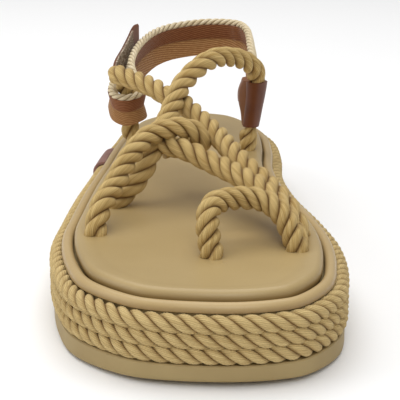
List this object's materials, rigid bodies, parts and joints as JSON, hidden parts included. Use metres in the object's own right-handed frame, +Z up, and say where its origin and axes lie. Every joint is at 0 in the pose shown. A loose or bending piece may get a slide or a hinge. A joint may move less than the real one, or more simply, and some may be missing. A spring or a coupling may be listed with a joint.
{
  "type": "rope sandal",
  "caption": "Right rope sandal: knotted rope straps over a footbed on a platform wrapped in rope, with a corded heel band.",
  "frame": {"origin": "on the floor, on the outsole's flat bottom, under the middle of the sole's length", "axes": "+Z up, toe towards -Y and heel towards +Y, big toe side +X"},
  "size_m": [0.1027, 0.2706, 0.0779],
  "materials": {
    "sole_rubber": "matt moulded rubber",
    "course_rope": "twisted rope",
    "covering_leather": "smooth satin",
    "strap_rope": "twisted rope",
    "band_webbing": "herringbone weave",
    "brown_leather": "smooth satin"
  },
  "bodies": {
    "root": {"outsole": "sole_rubber", "rope_course_lower": "course_rope", "rope_course_middle": "course_rope", "rope_course_upper": "course_rope", "rim_binding": "covering_leather", "footbed": "covering_leather", "strap_ropes": "strap_rope", "heel_band": "band_webbing", "closure_tab": "band_webbing", "rope_sleeve": "brown_leather", "joint_patch": "brown_leather"}
  },
  "joints": []
}
